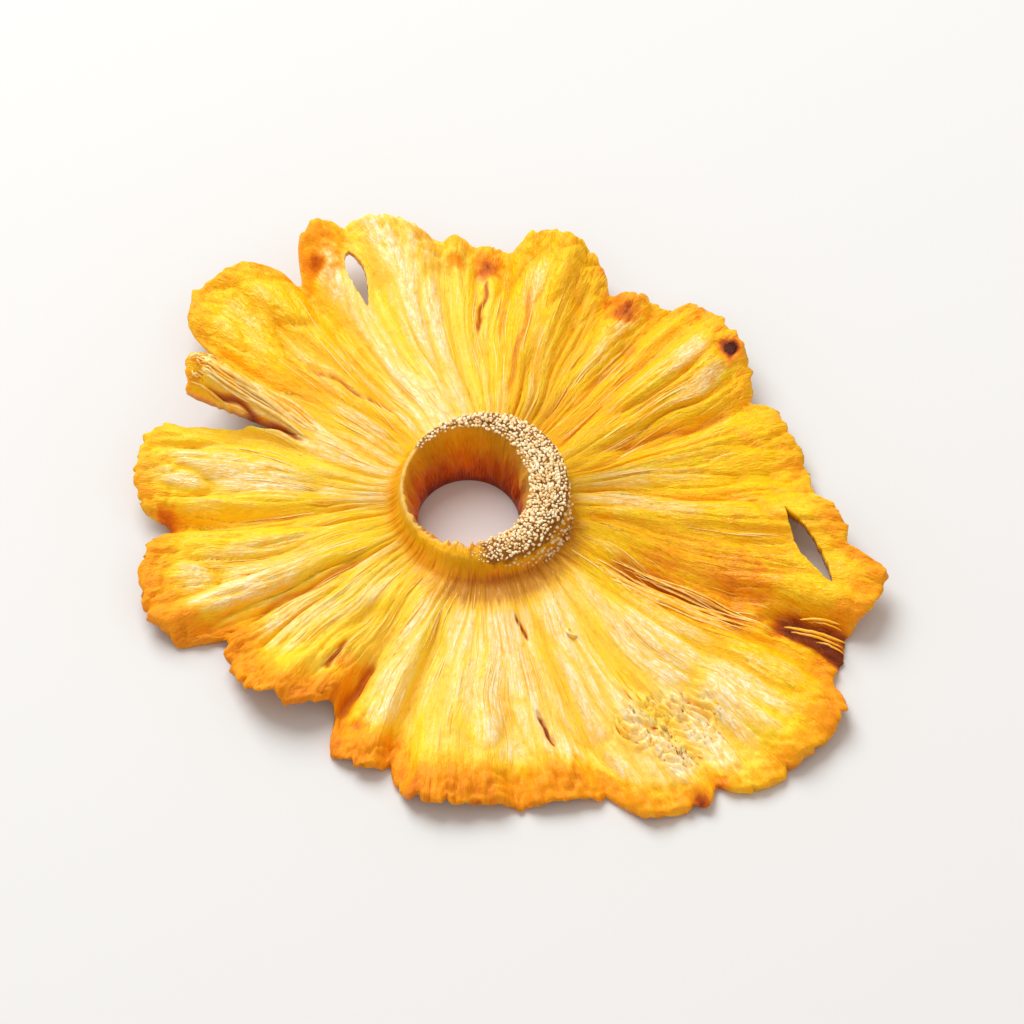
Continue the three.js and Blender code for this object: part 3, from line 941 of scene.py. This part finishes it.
for _ in range(TIP_THREADS):
    course = curl(rng.normal(154.5, 1.8), rng.uniform(35.5, 37.6), rng.uniform(0.3, 1.0), rng.uniform(0, 360), 150)
    path = laid(course, rng.uniform(0.05, 0.5) * arch + rng.uniform(-0.05, 0.1))
    if path is not None:
        threads.append(Thread(path, rng.uniform(*TIP_WIDTHS), rng.uniform(0.3, 0.9)))
for start, end, width in POCKET_THREADS:
    path = np.array([mix(np.array(start), np.array(end), t) for t in np.linspace(0, 1, THREAD_RINGS)])
    path = path + np.outer(arch, (0, 0.15, 0.3)) + rng.normal(0, 0.03, path.shape) + (HUB.x, HUB.y, 0)
    threads.append(Thread(path * MM, width, 0.12))
for i in range(FAN_THREADS):
    t = i / (FAN_THREADS - 1)
    start = np.array(place(mix(323.5, 334.5, t) + rng.normal(0, 0.8), rng.uniform(14, 22)))
    end = np.array(place(mix(330.5, 336.0, t) + rng.normal(0, 0.3), rng.uniform(30, 37.5)))
    bow = np.outer(arch, (rng.normal(0, 0.3), rng.normal(0, 0.3)))
    course = [mix(start, end, step) for step in np.linspace(0, 1, THREAD_RINGS)] + bow
    path = laid(course, 0.02 + rng.uniform(0.0, 0.3) * arch)
    threads.append(Thread(path, rng.uniform(*FAN_WIDTHS), rng.uniform(0.0, 0.6)))
path = laid(curl(300.5, 20.3, 0.95, 120, 190), 0.1 + 0.35 * arch)
threads.append(Thread(path, 0.4, 1.0))


def bunch(name, threads):
    """A piece of many threads."""
    mesh, shape = copies(name, tube, len(threads))
    places = [along_path(shape, thread.path, thread.width) for thread in threads]
    return finished(mesh, places, [thread.tone for thread in threads])


thread_piece = bunch("loose_fibres", threads)

# %% [markdown]
# A finish is a tree of shader nodes. Written out one by one, even a simple sum takes four lines, so a small class
# wraps each socket and lets Python's own operators add the Math nodes: 1 - mask then means what it says. Colours
# never go through a Math node, which would turn them grey, but through Mix.

# %% Shader maths as Python expressions


class Value:
    """What one socket of a node gives, with Python's operators."""

    def __init__(self, finish, socket):
        self.finish, self.socket = finish, socket

    def math(self, operation, first, second):
        return self.finish.node("ShaderNodeMath", {"operation": operation}, {0: first, 1: second})

    def __add__(self, other):
        return self.math("ADD", self, other)

    def __radd__(self, other):
        return self.math("ADD", other, self)

    def __sub__(self, other):
        return self.math("SUBTRACT", self, other)

    def __rsub__(self, other):
        return self.math("SUBTRACT", other, self)

    def __mul__(self, other):
        return self.math("MULTIPLY", self, other)

    def __rmul__(self, other):
        return self.math("MULTIPLY", other, self)


class Finish:
    """A material whose nodes are added by method calls."""

    def __init__(self, name):
        self.material = bpy.data.materials.new(name)
        self.material.use_nodes = True
        self.tree = self.material.node_tree
        self.tree.nodes.clear()

    def node(self, kind, settings, inputs, output=0):
        """Adds a node, sets it up, fills its sockets with numbers, colours or links, and gives one output."""
        made = self.tree.nodes.new(kind)
        for name, value in settings.items():
            setattr(made, name, value)
        for key, value in inputs.items():
            if isinstance(value, Value):
                self.tree.links.new(value.socket, made.inputs[key])
            else:
                made.inputs[key].default_value = value
        return None if output is None else Value(self, made.outputs[output])

    def attribute(self, name, output="Fac"):
        return self.node("ShaderNodeAttribute", {"attribute_name": name}, {}, output)

    def place(self):
        return self.node("ShaderNodeTexCoord", {}, {}, "Object")

    def noise(self, place, scale, detail=3.0, roughness=0.55, distortion=0.0):
        values = {"Vector": place, "Scale": scale, "Detail": detail}
        values |= {"Roughness": roughness, "Distortion": distortion}
        return self.node("ShaderNodeTexNoise", {}, values)

    def level(self, value, low, high):
        """0 below low, 1 above high, and a smooth step between them."""
        values = {"Value": value, "From Min": low, "From Max": high}
        return self.node("ShaderNodeMapRange", {"interpolation_type": "SMOOTHSTEP"}, values)

    def fold(self, noise):
        """How far a noise is from its middle: sharp valleys with round tops between them."""
        return self.node("ShaderNodeMath", {"operation": "ABSOLUTE"}, {0: noise * 2 - 1})

    def blend(self, first, second, share):
        """A colour that goes from the first to the second."""
        return self.node("ShaderNodeMix", {"data_type": "RGBA"}, {0: share, 6: first, 7: second}, 2)

    def over(self, colour, *layers):
        """A colour with layers painted over it in turn, each of them a colour and its share."""
        for tint, share in layers:
            colour = self.blend(colour, tint, share)
        return colour

    def bump(self, height, distance, strength=1.0):
        values = {"Height": height, "Distance": distance, "Strength": strength}
        return self.node("ShaderNodeBump", {}, values)

    def shade(self, values):
        """The Principled shader, led to the material's output."""
        shader = self.node("ShaderNodeBsdfPrincipled", {}, values)
        self.node("ShaderNodeOutputMaterial", {}, {"Surface": shader}, output=None)

    def put_on(self, piece):
        piece.data.materials.clear()
        piece.data.materials.append(self.material)


def paint(red, green, blue):
    """A colour as a picture gives it, from 0 to 255, made linear for the shader."""
    parts = [c / 255 for c in (red, green, blue)]
    return (*(c / 12.92 if c < 0.04 else ((c + 0.055) / 1.055) ** 2.4 for c in parts), 1)


IVORY = paint(255, 240, 210)
CREAM = paint(255, 227, 150)
YELLOW = paint(255, 220, 20)
GOLD = paint(254, 202, 30)
STRAW = paint(255, 208, 84)
DEEP_YELLOW = paint(255, 205, 0)
HONEY = paint(255, 195, 8)
ORANGE = paint(252, 182, 0)
AMBER = paint(248, 156, 0)
RUST = paint(210, 104, 0)
BROWN = paint(156, 56, 4)
DARK_BROWN = paint(84, 26, 2)
RED_BROWN = paint(180, 62, 4)
TANGERINE = paint(244, 118, 0)
APRICOT = paint(255, 184, 8)
UMBER = paint(196, 122, 12)
TOFFEE = paint(206, 96, 0)
WALL_PALE = paint(252, 190, 72)
PIT = paint(146, 80, 20)
print("colours ready")

# %% [markdown]
# Dried pineapple is half clear, like candied fruit: light goes in, is coloured, and comes out a millimetre or two
# away, which is what subsurface scattering does. Sugar leaves it faintly glossy, which the coat gives. Its colour
# runs from cream, where the flesh is dry and full of air, to deep yellow, where it is clear, and sugar has
# browned the rim. The furrows are painted a deeper orange, partly their own browning and partly painted shade,
# and the ridges paler, partly a painted highlight. The streaks are a noise that reads the fibre attribute, so
# they follow the fibres and spread with them.

# %% What the flesh's finish reads
f = Finish("pineapple_flesh")
at, fibre = f.place(), f.attribute("fibre", "Vector")
streak = f.noise(fibre, 1.0, detail=4, roughness=0.6, distortion=0.4)
middle_streak = f.noise(fibre, 1.9, detail=3, roughness=0.6, distortion=0.3)
fine_streak = f.noise(fibre, 4.2, detail=3, roughness=0.6)
blotch = f.noise(at, 170, detail=3)
speck = f.noise(at, 900, detail=3, roughness=0.6)
furrow, ridge = f.attribute("furrow"), f.attribute("ridge")
rim, eye, crack_and_shade = f.attribute("rim"), f.attribute("eye"), f.attribute("crack_and_shade")
pale, shaded = f.attribute("pale"), f.attribute("shaded")
middle_ridge, fine_ridge = f.fold(middle_streak), f.fold(fine_streak)
print(len(f.tree.nodes), "nodes give what the colours depend on")

# %% [markdown]
# The colour is built up in layers, each painted over those before it with a mask of its own. One colour ramp would
# be shorter, but it could give the colours in one order only, while the yellows, the furrows, the browned rim and
# the stains each follow something else on the fruit.

# %% Yellows and creams
# Ridges are painted paler and furrows darker: partly the flesh's own tone, partly a painted highlight and painted
# shade.
paleness = pale + (blotch - 0.5) + f.attribute("band") * 0.7 + (streak - 0.5) * 1.3 + (ridge - 0.6) * 0.6
paleness = paleness - rim * 0.9 - furrow * 0.5
colour = f.over(
    DEEP_YELLOW,
    (YELLOW, f.level(paleness, -0.3, 0.4)),
    (CREAM, f.level(paleness, 0.3, 1.0) * 0.95),
    (IVORY, f.level(paleness, 0.65, 1.35) * 0.95),
)
print(len(f.tree.nodes), "nodes with the yellows")

# %% Furrows, partly painted shade, and the painted shadow at the collar's foot
valley = f.over(
    ORANGE,
    (GOLD, f.level(pale, 0.3, 0.8)),
    (STRAW, f.level(pale + (blotch - 0.5) * 0.6, 0.7, 1.1) * 0.8),
)
# The furrows and the valleys between bundles and streaks are painted orange and rust: partly their own colour,
# partly painted shade.
colour = f.over(
    colour,
    (valley, f.level(furrow + (streak - 0.5) * 0.8, 0.25, 0.8) * 0.9),
    (valley, (1 - f.level(ridge, 0.0, 0.5)) * 0.85),
    (RUST, (1 - f.level(ridge, 0.0, 0.25)) * f.level(furrow, 0.2, 0.8) * 0.4),
    (RUST, f.level(furrow - pale * 0.5 + (middle_streak - 0.5), 0.6, 1.3) * 0.4),
    (valley, (1 - f.level(middle_ridge, 0.02, 0.2)) * 0.75),
    (valley, (1 - f.level(fine_ridge, 0.0, 0.2)) * 0.45),
    # Honey and umber at the collar's foot are a painted shadow of the collar.
    (HONEY, f.level(shaded + (middle_streak - 0.5) * 0.8, 0.1, 0.6) * 0.8),
    (UMBER, f.level(shaded + (streak - 0.5) * 1.6, 0.4, 1.0) * 0.85),
)
print(len(f.tree.nodes), "nodes with the furrows")

# %% The browned rim, and painted shade on the underside
browned = rim + (streak - 0.5) * 1.3 + (blotch - 0.5) * 0.9 + (speck - 0.5) * 0.4
colour = f.over(
    colour,
    (HONEY, f.level(browned, 0.0, 0.5) * 0.9),
    (AMBER, f.level(browned, 0.2, 0.85) * 0.95),
    (RUST, f.level(browned + (middle_streak - 0.5), 0.8, 1.4) * 0.75),
    # painted shade: the underside and the cut walls are darkened with rust
    (RUST, f.attribute("below") * 0.6),
)
print(len(f.tree.nodes), "nodes with the browning")

# %% Eyes, cracks and the painted shade between the swirl's wrinkles
stain = eye + (speck - 0.5) * 0.6 + (middle_streak - 0.5) * 0.3
colour = f.over(
    colour,
    (AMBER, f.level(stain, 0.0, 0.35)),
    (RUST, f.level(stain, 0.25, 0.6) * 0.9),
    (BROWN, f.level(stain, 0.5, 0.9) * 0.9),
    (DARK_BROWN, f.level(stain, 0.8, 1.1)),
    # the crack mask also holds the painted shade between the swirl's wrinkles
    (RUST, f.level(crack_and_shade, 0.1, 0.45) * 0.8),
    (BROWN, f.level(crack_and_shade, 0.35, 0.7) * 0.85),
    (DARK_BROWN, f.level(crack_and_shade + (middle_streak - 0.5) * 0.5, 0.65, 1.0) * 0.8),
)
print(len(f.tree.nodes), "nodes with the stains")

# %% [markdown]
# The collar is woody, so it keeps a duller colour that pales towards the crown, with dark pits between the grains,
# and a painted shadow browns it low down on its front. The hole's wall is painted dark and red low down, a painted
# shade deep in the hole, and pale where the fibres on it were cut.

# %% The collar and the hole's wall
height = f.node("ShaderNodeSeparateXYZ", {}, {0: at}, "Z") * (1 / MM)
uneven_height = height + (blotch - 0.5) * 2 + (middle_streak - 0.5) * 3
collar_colour = f.over(
    HONEY,
    # toffee low on the collar's front is painted shade
    (TOFFEE, f.level(shaded, 0.2, 0.9)),
    (AMBER, f.level(uneven_height, 4.2, 5.6)),
    (APRICOT, f.level(uneven_height, 5.0, 6.6)),
    (CREAM, f.attribute("lip") * 0.85),
    (PIT, f.level(f.attribute("grained") + (speck - 0.5) * 1.4, 0.2, 0.8) * 0.9),
)
# Painted shade: the hole's wall is darker and redder towards its bottom.
hole_colour = f.over(
    RED_BROWN,
    (TANGERINE, f.level(height + (middle_streak - 0.5) * 10, 0.0, 3.5)),
    (APRICOT, f.level(height + (middle_streak - 0.5) * 12, 3.0, 8.0) * 0.85),
    (WALL_PALE, f.level(f.attribute("cut") + (middle_streak - 0.5) * 2, 0.2, 0.9) * 0.7),
)
collar_colour = f.blend(collar_colour, hole_colour, f.attribute("hole"))
colour = f.blend(colour, collar_colour, f.attribute("collar"))
print(len(f.tree.nodes), "nodes with the collar")

# %% Gloss, clearness and the finest relief
relief_height = (middle_ridge * 0.34 + fine_ridge * 0.16) * (1.1 - 0.6 * pale) + speck * (0.12 + rim * 0.05)
f.shade(
    {
        "Base Color": colour,
        "Roughness": 0.26 + 0.22 * streak + rim * 0.2,
        "Subsurface Weight": 0.3,
        "Subsurface Radius": (1.0, 0.7, 0.4),
        "Subsurface Scale": 0.8 * MM,
        "Specular IOR Level": 0.25,
        "Coat Weight": f.level(streak - rim * 0.5, 0.4, 0.75) * 0.3,
        "Coat Roughness": 0.16,
        "Normal": f.bump(relief_height, 1.0 * MM, strength=0.9),
    }
)
f.put_on(slice_piece)
print(len(f.tree.nodes), "nodes in all")

# %% The finish of the fibre ends and the threads


def loose_finish(name, dull, pale, rough):
    """A finish that goes from a dull to a pale colour with each copy's own tone."""
    f = Finish(name)
    at = f.place()
    mottle = f.noise(at, 1400, detail=2)
    share = f.level(f.attribute("tone") + (mottle - 0.5) * 1.2, 0.0, 0.9)
    f.shade(
        {
            "Base Color": f.blend(dull, pale, share),
            "Roughness": rough,
            "Coat Weight": 0.1,
            "Normal": f.bump(mottle, 0.08 * MM),
        }
    )
    return f


GRAIN_DULL, GRAIN_PALE = paint(242, 202, 134), paint(255, 240, 202)
loose_finish("core_fibre_ends", GRAIN_DULL, GRAIN_PALE, 0.55).put_on(grain_piece)
loose_finish("loose_fibres", ORANGE, CREAM, 0.4).put_on(thread_piece)
print("finishes:", [material.name for material in bpy.data.materials])

# %% [markdown]
# The slice lies on a plain white table in soft daylight that comes from behind and a little from the left, so the
# far rims glow and the shadow falls towards us. The long lens stands well back, as the photographer's did.

# %% Floor
floor_mesh = bpy.data.meshes.new("floor")
bm = bmesh.new()
bmesh.ops.create_grid(bm, x_segments=1, y_segments=1, size=3.0)
bm.to_mesh(floor_mesh)
bm.free()
floor = add_object("floor", floor_mesh)
white = Finish("white_table")
white.shade({"Base Color": (0.7, 0.7, 0.7, 1), "Roughness": 0.75, "Specular IOR Level": 0.2})
white.put_on(floor)
print("floor of", len(floor_mesh.polygons), "face")

# %% Lights
DAYLIGHT, DAYLIGHT_STRENGTH = (1, 0.92, 0.84, 1), 0.66
world = bpy.data.worlds.new("studio")
bpy.context.scene.world = world
world.use_nodes = True
background = world.node_tree.nodes["Background"]
background.inputs["Color"].default_value = DAYLIGHT
background.inputs["Strength"].default_value = DAYLIGHT_STRENGTH


def add_light(name, size, power, place, tint=(1, 1, 1)):
    """A round soft light that faces the slice."""
    data = bpy.data.lights.new(name, "AREA")
    data.shape = "DISK"
    data.size = size
    data.energy = power
    data.color = tint
    light = bpy.data.objects.new(name, data)
    light.location = place
    light.rotation_euler = Vector(place).to_track_quat("Z", "Y").to_euler()
    bpy.context.scene.collection.objects.link(light)


add_light("window", size=0.8, power=11.3, place=(-0.3, 0.6, 0.78), tint=(0.95, 0.985, 1.0))
print("lights:", [light.name for light in bpy.data.lights])

# %% Camera
ELEVATION, DISTANCE, AIM_HEIGHT, LENS = math.radians(58), 0.66, 3 * MM, 200
camera_data = bpy.data.cameras.new("camera")
camera_data.lens = LENS
camera = bpy.data.objects.new("camera", camera_data)
back = Vector((0, -math.cos(ELEVATION), math.sin(ELEVATION)))
camera.location = back * DISTANCE + Vector((0, 0, AIM_HEIGHT))
camera.rotation_euler = (math.pi / 2 - ELEVATION, 0, 0)
bpy.context.scene.collection.objects.link(camera)
bpy.context.scene.camera = camera
bpy.context.scene.view_settings.view_transform = "Standard"
print("camera at", [round(c, 3) for c in camera.location])
